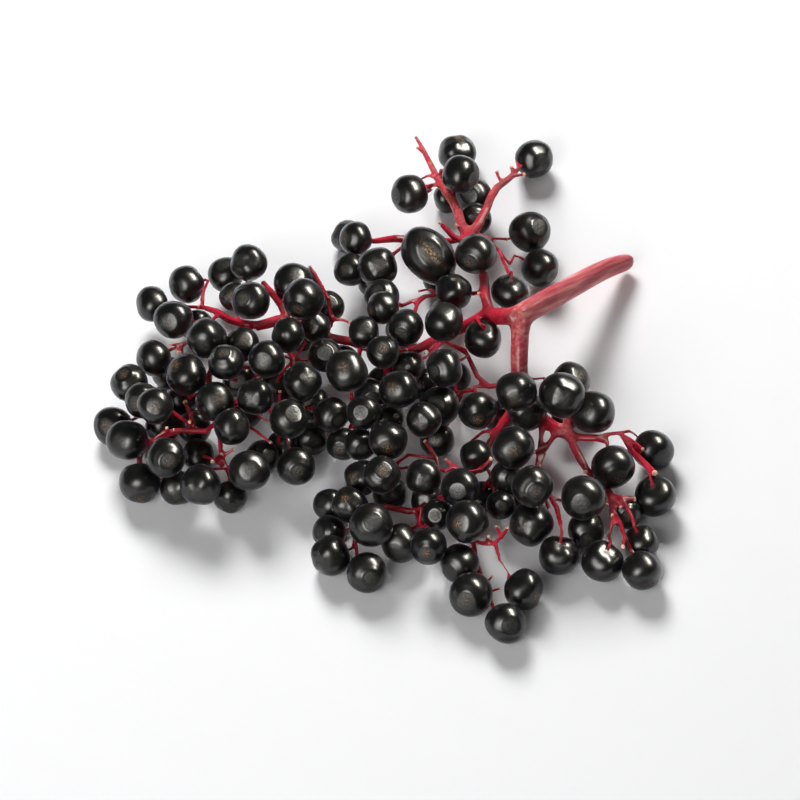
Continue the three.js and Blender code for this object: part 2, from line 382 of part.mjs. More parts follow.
      berries: [[-8.3, 21.8, 6, 2.8, -0.4, 0], [-3.7, 22.3, 11, 3.4, 0.05, 0.05],
        [-4.4, 20, 0, 2.8, -0.2, 0.2, -1]] },
  ],
  sprig_top_middle: [
    { stem: [[12.2, 26, 10.2, 0.5], [9.4, 23.6, 8.6, 0.48], [8, 22.4, 8.2, 0.45]],
      berries: [[4.8, 24.2, 14, 4, 0.1, 0.1, 1, 1.36], [6.6, 20.4, 0, 2.8, 0, 0.3, -1]] },
  ],
  sprig_top_front: [
    { stem: [[12.8, 24.8, 10.8, 0.5], [13.8, 26.6, 12, 0.42]],
      berries: [[12.7, 24.3, 15, 3.5, -0.4, -0.5]] },
  ],
  sprig_top_right: [
    { stem: [[13.2, 27, 9.4, 0.42], [15.6, 27, 8.6, 0.34], [17.8, 27, 7.4, 0.3]],
      berries: [[21.8, 28.3, 4.6, 3.5, 0.55, 0.25]] },
    { stem: [[14.4, 26.9, 9, 0.36], [16.4, 25.2, 7.6, 0.34], [18.4, 22.8, 6.6, 0.32]],
      berries: [[23.5, 22.2, 4, 3.2, 0.75, -0.5]] },
    { stem: [[16.4, 25.2, 7.6, 0.34], [17.6, 22.4, 12.6, 0.34], [18.2, 21, 13.4, 0.34]],
      berries: [[18.3, 18, 11.6, 3.2, -0.1, -0.75, -1]] },
  ],
};

// ---- berries settle against each other -----------------------------------------------------------
// They slide only straight in or out of the leaning plan, until no two of them touch.
const berries = [];
for (const twigs of Object.values(pieces)) {
  for (const twig of twigs) {
    twig.fruit = (twig.berries ?? []).map((row) => {
      const [across, up, height, radius, scarX, scarY, side = 1, stretch = 1] = row;
      const berry = { radius, stretch, reach: radius * (1 + (stretch - 1) * 0.5), lies: height === 0 };
      berry.centre = spot([across, up, height || radius]);
      berry.axis = heading(scarX, scarY, side);
      berries.push(berry);
      return berry;
    });
  }
}

const depthOf = (place) => place.dot(OUT_OF_PLAN);

function slide(place, distance, floor) {
  const lowest = (floor - place.z) / OUT_OF_PLAN.z;
  place.addScaledVector(OUT_OF_PLAN, Math.max(distance, Math.min(0, lowest)));
}

// How far apart along the plan's normal two round things must be so that they just clear.
function clearDepth(a, b, reach) {
  const offset = a.clone().sub(b);
  const depth = offset.dot(OUT_OF_PLAN);
  const sideways = offset.lengthSq() - depth * depth;
  return { depth, needed: sideways < reach * reach ? Math.sqrt(reach * reach - sideways) : 0 };
}

for (let round = 0; round < SETTLE_ROUNDS; round += 1) {
  for (let i = 0; i < berries.length; i += 1) {
    for (let j = i + 1; j < berries.length; j += 1) {
      const [a, b] = [berries[i], berries[j]];
      const { depth, needed } = clearDepth(a.centre, b.centre, a.reach + b.reach + GAP * 0.5);
      if (Math.abs(depth) >= needed || (a.lies && b.lies)) continue;
      const push = (needed - Math.abs(depth)) * Math.sign(depth || 1);
      if (!a.lies) slide(a.centre, b.lies ? push : push / 2, a.radius);
      if (!b.lies) slide(b.centre, a.lies ? -push : -push / 2, b.radius);
    }
  }
}

// ---- stems grow round the berries -----------------------------------------------------------------
function growRound(place, radius, own) {
  place.z = Math.max(place.z, radius * 1.3);
  for (let round = 0; round < STEM_ROUNDS; round += 1) {
    for (const berry of berries) {
      if (berry === own) continue;
      const { depth, needed } = clearDepth(place, berry.centre, berry.reach * 0.96 + radius + GAP);
      if (Math.abs(depth) < needed) slide(place, Math.sign(depth || -1) * needed - depth, radius);
    }
  }
}

// ---- solids --------------------------------------------------------------------------------------
function solid(geometry) {
  geometry.deleteAttribute('normal');
  geometry.deleteAttribute('uv');
  const welded = mergeVertices(geometry, 1e-4);
  return new wasm.Manifold(new wasm.Mesh({
    numProp: 3,
    vertProperties: new Float32Array(welded.getAttribute('position').array),
    triVerts: new Uint32Array(welded.getIndex().array),
  }));
}

const routeOf = (places) => new THREE.CatmullRomCurve3(places, false, 'centripetal');

// A round bar, turned on a lathe and then bent along its route, with flat ends.
function bentBar(places, radii, sides) {
  const curve = routeOf(places);
  const steps = places.length - 1;
  const profile = [new THREE.Vector2(0, 0)];
  for (let ring = 0; ring <= steps; ring += 1) {
    const t = curve.getUtoTmapping(ring / steps) * (radii.length - 1);
    const span = Math.min(Math.floor(t), radii.length - 2);
    profile.push(new THREE.Vector2(THREE.MathUtils.lerp(radii[span], radii[span + 1], t - span), ring));
  }
  profile.push(new THREE.Vector2(0, steps));
  const geometry = new THREE.LatheGeometry(profile, sides);
  const frames = curve.computeFrenetFrames(steps);
  const corners = geometry.getAttribute('position');
  for (let i = 0; i < corners.count; i += 1) {
    const ring = Math.round(corners.getY(i));
    const corner = curve.getPointAt(ring / steps);
    corner.addScaledVector(frames.binormals[ring], corners.getX(i));
    corner.addScaledVector(frames.normals[ring], corners.getZ(i));
    corners.setXYZ(i, corner.x, corner.y, corner.z);
  }
  return solid(geometry);
}

// A berry: a flattened ball with a flat flower scar opposite its stalk.
function berrySolid({ centre, axis, radius, stretch }) {
  const profile = [[0, -OBLATE], [0.72, -0.6 * OBLATE], [1, 0.06], [SCAR, OBLATE], [0, OBLATE]];
  const points = profile.map(([out, along]) => new THREE.Vector2(out * radius, along * radius));
  const geometry = new THREE.LatheGeometry(points, stretch > 1 ? BERRY_SIDES * 2 : BERRY_SIDES);
  geometry.scale(1, 1, stretch);
  const long = heading(0.66, -0.75, 0);
  long.addScaledVector(axis, -long.dot(axis)).normalize();
  const basis = new THREE.Matrix4().makeBasis(new THREE.Vector3().crossVectors(axis, long), axis, long);
  geometry.applyMatrix4(basis.setPosition(centre));
  return solid(geometry);
}

const join = (solids) => solids.reduce((whole, next) => whole.add(next));

// The stem point that a new twig starts from: the nearest one that has already grown.
const grown = [];
function nearestStem(place, among) {
  let best = place;
  let least = Infinity;
  for (const other of among) {
    const offset = other.clone().sub(place);
    const depth = offset.dot(OUT_OF_PLAN);
    const cost = 4 * offset.lengthSq() - 3 * depth * depth;
    if (cost < least) [best, least] = [other, cost];
  }
  return best.clone();
}

const sidesOf = (radius) => {
  if (radius > 1.4) return 2 * STEM_SIDES;
  return radius > 0.55 ? STEM_SIDES : PEDICEL_SIDES;
};

// All bars of one piece, each as { places, radii, sides }.
function barsOf(twigs) {
  const own = [];
  const bars = [];
  for (const { stem, fruit } of twigs) {
    const places = stem.map((point) => spot(point));
    const thickness = stem.map((point) => point[3]);
    const among = own.length > 0 ? own : grown;
    if (among.length > 0) places[0] = nearestStem(places[0], among);
    for (let i = 1; i < places.length; i += 1) growRound(places[i], thickness[i]);
    const rings = routeOf(places).getSpacedPoints(places.length - 1);
    for (let i = 1; i < rings.length; i += 1) {
      for (let part = 0; part < 1; part += 0.2) own.push(rings[i - 1].clone().lerp(rings[i], part));
    }
    own.push(rings[rings.length - 1]);
    bars.push({ places, radii: thickness, sides: sidesOf(Math.max(...thickness)) });
    const fork = places[places.length - 1];
    for (const berry of fruit) {
      const pole = berry.centre.clone().addScaledVector(berry.axis, -berry.radius * OBLATE);
      const end = pole.clone().addScaledVector(berry.axis, SINK);
      const bend = pole.clone().addScaledVector(berry.axis, -0.4 * fork.distanceTo(pole));
      growRound(bend, PEDICEL, berry);
      const radii = [PEDICEL, PEDICEL, PEDICEL_END];
      bars.push({ places: [fork, bend, end], radii, sides: PEDICEL_SIDES });
    }
  }
  grown.push(...own);
  return bars;
}

const build = ({ places, radii, sides }, extra = 0) => (
  bentBar(places, radii.map((radius) => radius + extra), sides));

const plans = Object.entries(pieces).map(([name, twigs]) => (
  { name, bars: barsOf(twigs), fruit: twigs.flatMap((twig) => twig.fruit) }));
for (const plan of plans) plan.sleeve = join(plan.bars.map((bar) => build(bar, GAP)));

const cluster = new THREE.Group();
plans.forEach((plan, index) => {
  let stems = join(plan.bars.map((bar) => build(bar)));
  for (const earlier of plans.slice(0, index)) stems = stems.subtract(earlier.sleeve);
  let whole = stems;
  if (plan.fruit.length > 0) {
    let fruit = join(plan.fruit.map(berrySolid));
    for (const other of plans) if (other !== plan) fruit = fruit.subtract(other.sleeve);
    whole = stems.add(fruit);
  }
  const { vertProperties, triVerts } = whole.getMesh();
  const geometry = new THREE.BufferGeometry();
  geometry.setAttribute('position', new THREE.BufferAttribute(vertProperties, 3));
  geometry.setIndex(new THREE.BufferAttribute(triVerts, 1));
  const mesh = new THREE.Mesh(geometry, plan.fruit.length > 0 ? SKIN : BARK);
  mesh.name = plan.name;
  cluster.add(mesh);
});

// ---- the origin: on the table, under the middle of the cluster --------------------------------------
const box = new THREE.Box3().setFromObject(cluster);
const middle = box.getCenter(new THREE.Vector3());
cluster.position.set(-middle.x, -middle.y, -box.min.z);

export default cluster;
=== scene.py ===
import itertools
import math
import random

import bpy
import numpy as np
from mathutils import Matrix, Vector
from mathutils.bvhtree import BVHTree


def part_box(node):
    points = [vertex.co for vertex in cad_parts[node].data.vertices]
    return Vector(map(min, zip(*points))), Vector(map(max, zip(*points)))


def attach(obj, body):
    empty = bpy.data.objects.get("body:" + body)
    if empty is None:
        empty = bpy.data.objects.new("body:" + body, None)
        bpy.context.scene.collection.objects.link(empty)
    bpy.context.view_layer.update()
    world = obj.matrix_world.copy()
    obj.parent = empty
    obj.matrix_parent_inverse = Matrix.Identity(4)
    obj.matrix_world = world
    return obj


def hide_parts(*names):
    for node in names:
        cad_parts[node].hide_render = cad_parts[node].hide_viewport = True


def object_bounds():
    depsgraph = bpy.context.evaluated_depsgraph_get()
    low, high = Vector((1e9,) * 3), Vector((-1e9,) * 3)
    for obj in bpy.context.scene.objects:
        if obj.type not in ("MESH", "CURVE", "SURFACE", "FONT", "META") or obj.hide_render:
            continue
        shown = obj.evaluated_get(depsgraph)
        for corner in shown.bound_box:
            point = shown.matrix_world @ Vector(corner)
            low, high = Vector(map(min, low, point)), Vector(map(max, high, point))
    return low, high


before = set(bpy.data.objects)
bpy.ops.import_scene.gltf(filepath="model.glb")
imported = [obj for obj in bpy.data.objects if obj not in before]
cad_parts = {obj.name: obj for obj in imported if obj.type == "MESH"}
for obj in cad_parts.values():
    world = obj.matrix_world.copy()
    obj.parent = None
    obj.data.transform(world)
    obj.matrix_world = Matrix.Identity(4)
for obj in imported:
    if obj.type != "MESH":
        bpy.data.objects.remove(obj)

# A picked elderberry cluster (the fruit of black elder, Sambucus nigra) lying on a table.
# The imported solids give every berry's place and size and every stem's route; this script grows
# the fine berries and the rounded stems on them.
CAD_BOX = [list(corner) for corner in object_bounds()]
MM = 0.001

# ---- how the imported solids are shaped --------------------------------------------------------
OBLATE = 0.86  # half height of a packed berry, against its radius
SCAR = 0.4  # radius of its flat flower scar, against the berry's radius
SCAR_CORNERS = 7
ROUND_SCAR = 1.04  # a scar longer than this against its width has been cut by something else
TWIN_CORNERS = 14
TWIN_FROM = 1.15  # but the twin berry's scar is longer still, and whole
SMALLEST_SCAR = 0.9 * MM
LARGEST_SCAR = 1.5 * MM
GIRDLE = 0.06  # how far above its middle a packed berry is widest, against its radius
LEAST_GIRDLE = 4  # corners of that ring that must be there, when a stem crosses the scar
SLACK = 0.04 * MM
SAME_CORNER = 0.002 * MM
SAME_PLANE = 0.9999  # cosine between the normals of triangles that make one flat face
TINY = 1e-15
TIP_SIDES = (4, 6)
LARGEST_TIP = 0.8 * MM
SMALLEST_TIP = 0.25 * MM
EVEN_REACH, EVEN_SIDES = 1.03, 1.05  # how uneven a regular cap's corners and sides may be
TWIN_NODE = "sprig_top_middle"
BERRY_NODES = sorted(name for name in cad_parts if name.startswith(("sprig", "ray")))
STEM_NODES = sorted(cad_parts)

# ---- sizes of the fine shapes ----------------------------------------------------------------
SHAPES = 8  # different berries that the cluster repeats, and one more for the twin
HALF_HEIGHT = OBLATE + 0.03
PLUMPNESS = 0.98  # the full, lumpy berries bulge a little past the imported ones
ROUND = 56  # corners round a berry
SCAR_ROWS = (0, 0.06, 0.13, 0.22, 0.34, 0.48, 0.6, 0.7, 0.79, 0.87, 0.94, 1, 1.07, 1.15, 1.25,
             1.38)  # rings over the scar and its rim, against the scar's radius
UPPER_ROWS = 12  # rings from the rim to the berry's widest place
LOWER_ROWS = 24  # rings from there to the stalk
POLE = 1e-6  # a row narrower than this is one corner
LUMPS = 5  # waves that make a berry lumpy
LUMPS_WHOLE = 0.8  # how far out from the axis the lumps reach their whole height
STAR_ARMS = 5  # an elder flower has five parts, and its scar keeps them
STAR_HEIGHT = 0.003
PATTERN_STEP = 3.7  # moves the specks along, so that no two berry shapes share them
TWIN_STRIP = 1.7  # how far the twin's rusty heart is drawn out
SEED = 11

# ---- the studio ------------------------------------------------------------------------------
LOOK_DOWN = math.radians(50)
AIM = Vector((2.4, -0.4, 0)) * MM
CAMERA_DISTANCE = 2.4
VIEW_WIDTH = 0.1333
LIGHT_DISTANCE = 0.8
ROOM_LIGHT = 0.09
TABLE = 6.0


def linear(hex_colour):
    """A linear colour from its sRGB hex value."""
    values = [int(hex_colour[i:i + 2], 16) / 255 for i in (1, 3, 5)]
    return [v / 12.92 if v <= 0.04045 else ((v + 0.055) / 1.055) ** 2.4 for v in values] + [1.0]


def add_node(tree, kind, settings=None, links=None, stops=()):
    """Adds one node. Settings are attributes, input values or hex colours. Links join an output,
    or a node's first output, to an input. Stops are (position, hex colour) on a colour ramp."""
    node = tree.nodes.new(kind)
    for name, value in (settings or {}).items():
        if isinstance(name, str) and hasattr(node, name):
            setattr(node, name, value)
        else:
            is_colour = isinstance(value, str) and value.startswith("#")
            node.inputs[name].default_value = linear(value) if is_colour else value
    for name, source in (links or {}).items():
        output = source.outputs[0] if isinstance(source, bpy.types.Node) else source
        tree.links.new(output, node.inputs[name])
    for i, (position, colour) in enumerate(stops):
        elements = node.color_ramp.elements
        element = elements[i] if i < 2 else elements.new(position)
        element.position = position
        element.color = linear(colour)
    return node


def new_object(name, data):
    """Adds an object at the origin to the scene."""
    made = bpy.data.objects.new(name, data)
    bpy.context.scene.collection.objects.link(made)
    return made


def evaluated_mesh(holder):
    """A plain mesh of what an object's modifiers make."""
    graph = bpy.context.evaluated_depsgraph_get()
    return bpy.data.meshes.new_from_object(holder.evaluated_get(graph))


def mesh_from(name, corners, faces, smooth=True):
    mesh = bpy.data.meshes.new(name)
    mesh.from_pydata(corners, [], faces)
    mesh.polygons.foreach_set("use_smooth", [smooth] * len(mesh.polygons))
    return mesh


def new_material(name, numbers):
    """An empty material with a Principled shader, and the shader's own unchanging numbers."""
    material = bpy.data.materials.new(name)
    material.use_nodes = True
    tree = material.node_tree
    tree.nodes.clear()
    shader = add_node(tree, "ShaderNodeBsdfPrincipled", numbers)
    add_node(tree, "ShaderNodeOutputMaterial", links={"Surface": shader})
    return material, tree, shader


# ---- materials: the real sizes of their patterns ---------------------------------------------
WAX_PATCH = 2.38 * MM  # where the wax on a berry is thicker or thinner
SKIN_GRAIN = 0.1923 * MM  # the real grain is finer than can show, so it is drawn this coarse
CORK_SPECKS = 11.0  # in one radius of a berry, so about 0.28 mm each
STREAK_WIDTH = 0.667 * MM
STREAK_SQUEEZE = 0.07  # a streak's width against its length
RIND_PATCH = 3.85 * MM
RIND_GRAIN = 0.3125 * MM
PITH_PATCH = 0.714 * MM


def cells(size):
    """The scale of a noise pattern whose patches have this real size."""
    return round(1 / size, -1)


def elderberry_skin():
    """Ripe elderberry skin: a smooth, nearly black violet cuticle with a thin natural wax. The wax
    gives two sharp window highlights on a softer gloss, and the flower scar is dull and corky."""
    material, tree, shader = new_material("elderberry_skin", {
        "IOR": 1.42, "Coat Roughness": 0.15,
        "Sheen Weight": 0.08, "Sheen Roughness": 0.35, "Sheen Tint": "#aeb2e0",
    })
    place = add_node(tree, "ShaderNodeTexCoord").outputs["Object"]
    on_berry = add_node(tree, "ShaderNodeAttribute", {"attribute_name": "on_berry"}).outputs["Vector"]
    marks = {}
    for name in ("scar", "heart", "hollow", "ripeness", "golden"):
        marks[name] = add_node(tree, "ShaderNodeAttribute", {"attribute_name": name}).outputs["Fac"]

    patches = add_node(tree, "ShaderNodeTexNoise", {"Scale": cells(WAX_PATCH), "Detail": 3.0},
                       {"Vector": place})
    specks = add_node(tree, "ShaderNodeTexNoise",
                      {"Scale": CORK_SPECKS, "Detail": 6.0, "Roughness": 0.65}, {"Vector": on_berry})
    grain = add_node(tree, "ShaderNodeTexNoise", {"Scale": cells(SKIN_GRAIN), "Detail": 3.0},
                     {"Vector": place})

    tone = add_node(tree, "ShaderNodeMath", {"operation": "MULTIPLY_ADD", 1: 0.4},
                    {0: marks["ripeness"], 2: patches})
    skin = add_node(tree, "ShaderNodeValToRGB", links={"Fac": tone},
                    stops=[(0.4, "#020203"), (0.7, "#050504"), (0.95, "#0b0b07")])
    cork = add_node(tree, "ShaderNodeValToRGB", links={"Fac": specks},
                    stops=[(0.32, "#060605"), (0.5, "#15150f"), (0.66, "#35342a")])
    rust = add_node(tree, "ShaderNodeValToRGB", links={"Fac": specks},
                    stops=[(0.42, "#4a2c10"), (0.56, "#a8742c"), (0.7, "#d8ab62")])
    cover = add_node(tree, "ShaderNodeMath", {"operation": "MULTIPLY_ADD", 1: 0.8, 2: 0.3}, {0: specks})
    corky = add_node(tree, "ShaderNodeMath", {"operation": "MULTIPLY"}, {0: marks["scar"], 1: cover})
    with_scar = add_node(tree, "ShaderNodeMix", {"data_type": "RGBA"}, {0: corky, 6: skin, 7: cork})
    fleck = add_node(tree, "ShaderNodeMath", {"operation": "GREATER_THAN", 1: 0.5}, {0: specks})
    heart = add_node(tree, "ShaderNodeMath", {"operation": "MULTIPLY"},
                     {0: marks["heart"], 1: marks["golden"]})
    rusty = add_node(tree, "ShaderNodeMath", {"operation": "MULTIPLY", "use_clamp": True},
                     {0: heart, 1: fleck})
    with_rust = add_node(tree, "ShaderNodeMix", {"data_type": "RGBA"},
                         {0: rusty, 6: with_scar.outputs[2], 7: rust})
    stained = add_node(tree, "ShaderNodeMath", {"operation": "MULTIPLY", 1: 0.8}, {0: marks["hollow"]})
    colour = add_node(tree, "ShaderNodeMix", {"data_type": "RGBA", 7: "#4a0d18"},
                      {0: stained, 6: with_rust.outputs[2]})
    tree.links.new(colour.outputs[2], shader.inputs["Base Color"])

    gloss = add_node(tree, "ShaderNodeMath", {"operation": "MULTIPLY_ADD", 1: 0.18, 2: 0.22},
                     {0: patches})
    dull = add_node(tree, "ShaderNodeMath", {"operation": "MAXIMUM"},
                    {0: marks["scar"], 1: marks["hollow"]})
    rough = add_node(tree, "ShaderNodeMath", {"operation": "MULTIPLY_ADD", 1: 0.24}, {0: dull, 2: gloss})
    tree.links.new(rough.outputs[0], shader.inputs["Roughness"])
    wax = add_node(tree, "ShaderNodeMath", {"operation": "MULTIPLY_ADD", 1: -0.3, 2: 0.36}, {0: dull})
    tree.links.new(wax.outputs[0], shader.inputs["Coat Weight"])

    fine = add_node(tree, "ShaderNodeBump", {"Strength": 0.12, "Distance": 0.04 * MM},
                    {"Height": grain})
    lumps = add_node(tree, "ShaderNodeMath", {"operation": "MULTIPLY"}, {0: specks, 1: marks["scar"]})
    relief = add_node(tree, "ShaderNodeBump", {"Strength": 0.7, "Distance": 0.2 * MM},
                      {"Height": lumps, "Normal": fine})
    tree.links.new(relief.outputs[0], shader.inputs["Normal"])
    return material


def elder_stem(stalk_axis):
    """Ripe elder stem: a green stem turned crimson by its sap, with a satin, lightly ribbed rind.
    The oldest parts fade to salmon and coral with pale lengthwise streaks and brown patches."""
    material, tree, shader = new_material("elder_stem", {
        "IOR": 1.32, "Subsurface Weight": 0.1, "Subsurface Radius": (0.9 * MM, 0.3 * MM, 0.2 * MM),
        "Subsurface Scale": 1.0,
    })
    place = add_node(tree, "ShaderNodeTexCoord").outputs["Object"]
    faded = add_node(tree, "ShaderNodeAttribute", {"attribute_name": "faded"}).outputs["Fac"]
    stalk_turn = stalk_axis.to_track_quat("Z", "Y").to_euler()
    along = add_node(tree, "ShaderNodeVectorRotate", {"rotation_type": "EULER_XYZ", "invert": True,
                                                      "Rotation": stalk_turn}, {"Vector": place})
    long_way = add_node(tree, "ShaderNodeMapping", {"Scale": (1.0, 1.0, STREAK_SQUEEZE)},
                        {"Vector": along})
    streaks = add_node(tree, "ShaderNodeTexNoise", {"Scale": cells(STREAK_WIDTH), "Detail": 4.0},
                       {"Vector": long_way})
    patches = add_node(tree, "ShaderNodeTexNoise", {"Scale": cells(RIND_PATCH), "Detail": 3.0},
                       {"Vector": place})
    grain = add_node(tree, "ShaderNodeTexNoise", {"Scale": cells(RIND_GRAIN), "Detail": 2.0},
                     {"Vector": place})

    fresh = add_node(tree, "ShaderNodeValToRGB", links={"Fac": patches},
                     stops=[(0.3, "#7a0018"), (0.5, "#ae0428"), (0.72, "#c81c40")])
    salmon = add_node(tree, "ShaderNodeValToRGB", links={"Fac": streaks},
                      stops=[(0.3, "#a83040"), (0.5, "#cb5c62"), (0.72, "#e39a8c")])
    brown = add_node(tree, "ShaderNodeMath", {"operation": "GREATER_THAN", 1: 0.64}, {0: patches})
    worn = add_node(tree, "ShaderNodeMix", {"data_type": "RGBA", 7: "#a05a3c"}, {0: brown, 6: salmon})
    colour = add_node(tree, "ShaderNodeMix", {"data_type": "RGBA"},
                      {0: faded, 6: fresh, 7: worn.outputs[2]})
    tree.links.new(colour.outputs[2], shader.inputs["Base Color"])
    rough = add_node(tree, "ShaderNodeMath", {"operation": "MULTIPLY_ADD", 1: 0.2, 2: 0.3}, {0: grain})
    tree.links.new(rough.outputs[0], shader.inputs["Roughness"])

    ribs = add_node(tree, "ShaderNodeMath", {"operation": "MULTIPLY"}, {0: streaks, 1: faded})
    rind = add_node(tree, "ShaderNodeBump", {"Strength": 0.4, "Distance": 0.12 * MM},
                    {"Height": ribs})
    relief = add_node(tree, "ShaderNodeBump", {"Strength": 0.2, "Distance": 0.05 * MM},
                      {"Height": grain, "Normal": rind})
    tree.links.new(relief.outputs[0], shader.inputs["Normal"])
    return material


def pale_pith():
    """The bare end where a berry has dropped: moist, cream to pale orange pith, soft and matt."""
    material, tree, shader = new_material("pale_pith", {
        "Roughness": 0.5, "Subsurface Weight": 0.2, "Subsurface Radius": (0.8 * MM, 0.4 * MM, 0.3 * MM),
    })
    place = add_node(tree, "ShaderNodeTexCoord").outputs["Object"]
    patches = add_node(tree, "ShaderNodeTexNoise", {"Scale": cells(PITH_PATCH), "Detail": 2.0},
                       {"Vector": place})
    colour = add_node(tree, "ShaderNodeValToRGB", links={"Fac": patches},
                      stops=[(0.3, "#d98b6c"), (0.5, "#eebf9b"), (0.7, "#f6dcc0")])
    tree.links.new(colour.outputs[0], shader.inputs["Base Color"])
    return material


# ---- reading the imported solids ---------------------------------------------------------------
def welded(node):
    """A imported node's corners and triangles with shared corners joined, as arrays."""
    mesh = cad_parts[node].data
    corners = np.array([v.co for v in mesh.vertices])
    triangles = np.array([p.vertices[:] for p in mesh.polygons])
    keys = np.round(corners / SAME_CORNER).astype(np.int64)
    _, first, index = np.unique(keys, axis=0, return_index=True, return_inverse=True)
    triangles = index.reshape(-1)[triangles]
    whole = (triangles[:, 0] != triangles[:, 1]) & (triangles[:, 1] != triangles[:, 2])
    whole &= triangles[:, 0] != triangles[:, 2]
    return corners[first], triangles[whole]


def flat_faces(corners, triangles):
    """The flat faces of a solid: (outline corners in no order, outward normal) of each."""
    first_side = corners[triangles[:, 1]] - corners[triangles[:, 0]]
    second_side = corners[triangles[:, 2]] - corners[triangles[:, 0]]
    areas = np.cross(first_side, second_side)
    size = np.linalg.norm(areas, axis=1)
    normals = areas / np.maximum(size, TINY)[:, None]
    group = list(range(len(triangles)))

    def leader(face):
        while group[face] != face:
            face = group[face]
        return face

    by_edge = {}
    for face, triangle in enumerate(triangles):
        for a, b in zip(triangle, np.roll(triangle, -1)):
            by_edge.setdefault((min(a, b), max(a, b)), []).append(face)
    for faces in by_edge.values():
        if len(faces) == 2 and normals[faces[0]].dot(normals[faces[1]]) > SAME_PLANE:
            group[leader(faces[0])] = leader(faces[1])
    outlines, facing = {}, {}
    for edge, faces in by_edge.items():
        owners = {leader(face) for face in faces}
        if len(owners) == 2:
            for owner in owners:
                outlines.setdefault(owner, set()).update(edge)
    for face, area in enumerate(areas):
        facing[leader(face)] = facing.get(leader(face), 0) + area
    return [(corners[sorted(outline)], facing[owner] / max(np.linalg.norm(facing[owner]), TINY))
            for owner, outline in sorted(outlines.items())]


def girdle_corners(corners, middle, axis, radius):
    """How many of a solid's corners are where this berry's widest ring has its corners."""
    offset = corners - middle
    along = offset @ axis
    out = np.linalg.norm(offset - along[:, None] * axis, axis=1)
    return np.sum((abs(along - GIRDLE * radius) < SLACK) & (abs(out - radius) < SLACK))


def crossed_scar(outline, normal, corners):
    """The centre and radius of a scar that a stem crosses and adds corners to: the circle through
    three of the corners that holds the rest, with the berry's widest ring where it should be."""
    best, scar = LEAST_GIRDLE - 1, None
    for a, b, c in itertools.combinations(outline, 3):
        first, second = b - a, c - a
        across = np.cross(first, second)
        if across.dot(across) < SMALLEST_SCAR ** 4 / 100:  # nearly in one line
            continue
        centre = a + (np.cross(across, first) * second.dot(second)
                      + np.cross(second, across) * first.dot(first)) / (2 * across.dot(across))
        radius = np.linalg.norm(a - centre)
        beyond = np.linalg.norm(outline - centre, axis=1).max() - radius
        if beyond < SLACK and SMALLEST_SCAR < radius < LARGEST_SCAR:
            middle = centre - normal * radius / SCAR * OBLATE
            found = girdle_corners(corners, middle, normal, radius / SCAR)
            if found > best:
                best, scar = found, (centre, radius)
    return scar


def read_berries(node):
    """Every berry of a node, found by its flat flower scar."""
    berries = []
    for outline, normal in faces_of[node]:
        if len(outline) < SCAR_CORNERS:
            continue
        centre = outline.mean(0)
        offsets = outline - centre
        reach = np.linalg.norm(offsets, axis=1)
        narrow, stretch = reach.min(), reach.max() / reach.min()
        is_twin = node == TWIN_NODE and len(outline) == TWIN_CORNERS and stretch > TWIN_FROM
        if not is_twin and (stretch > ROUND_SCAR or narrow < SMALLEST_SCAR):
            scar = crossed_scar(outline, normal, solids[node][0])
            if not scar:
                continue
            centre, narrow = scar
        radius = narrow / SCAR
        berries.append({"middle": centre - normal * radius * OBLATE, "axis": normal,
                        "radius": radius, "long_way": offsets[reach.argmax()],
                        "stretch": stretch if is_twin else 1.0})
    return berries


solids = {node: welded(node) for node in STEM_NODES}
faces_of = {node: flat_faces(*solids[node]) for node in STEM_NODES}
berries_of = {node: read_berries(node) for node in BERRY_NODES}
berries_of = {node: found for node, found in berries_of.items() if found}
print("berries found:", sum(len(found) for found in berries_of.values()))


# ---- the fine berry --------------------------------------------------------------------------
def smooth_step(value, low, high):
    share = min(1, max(0, (value - low) / (high - low)))
    return share * share * (3 - 2 * share)


def bell(value, middle, width):
    return math.exp(-((value - middle) / width) ** 2)


def berry_profile(scar_width, fullness, clear):
    """Half outline of a berry from its flower scar to its stalk, as rows of (out, along, scar,
    hollow): the last two are masks for the skin. Clear is how plainly the scar is set off."""

    def skin_at(out):
        return HALF_HEIGHT * max(0, 1 - out ** fullness) ** (1 / fullness)

    rows = []
    for share in SCAR_ROWS:
        out = share * scar_width
        floor = skin_at(out) - 0.018 - 0.026 * bell(share, 0, 0.5) + 0.02 * bell(share, 0, 0.12)
        shoulder = 1 - clear * (1 - smooth_step(share, 0.84, 1.26))
        ring = clear * (0.034 * bell(share, 1.0, 0.2) - 0.014 * bell(share, 1.38, 0.22))
        along = floor * (1 - shoulder) + skin_at(out) * shoulder + ring
        rows.append((out, along, (0.3 + 0.7 * clear) * (1 - smooth_step(share, 0.4, 1.08)), 0.0))
    start = rows[-1][0]
    for i in range(1, UPPER_ROWS + 1):
        out = start + (1 - start) * math.sin(math.pi / 2 * i / UPPER_ROWS)
        sunk = 0.014 * clear * bell(out / scar_width, 1.38, 0.22)
        rows.append((out, skin_at(out) - sunk, 0.0, 0.0))
    for i in range(1, LOWER_ROWS + 1):
        out = math.cos(math.pi / 2 * i / LOWER_ROWS)
        rows.append((out, 0.07 * bell(out, 0, 0.36) - skin_at(out), 0.0, bell(out, 0, 0.13)))
    return rows


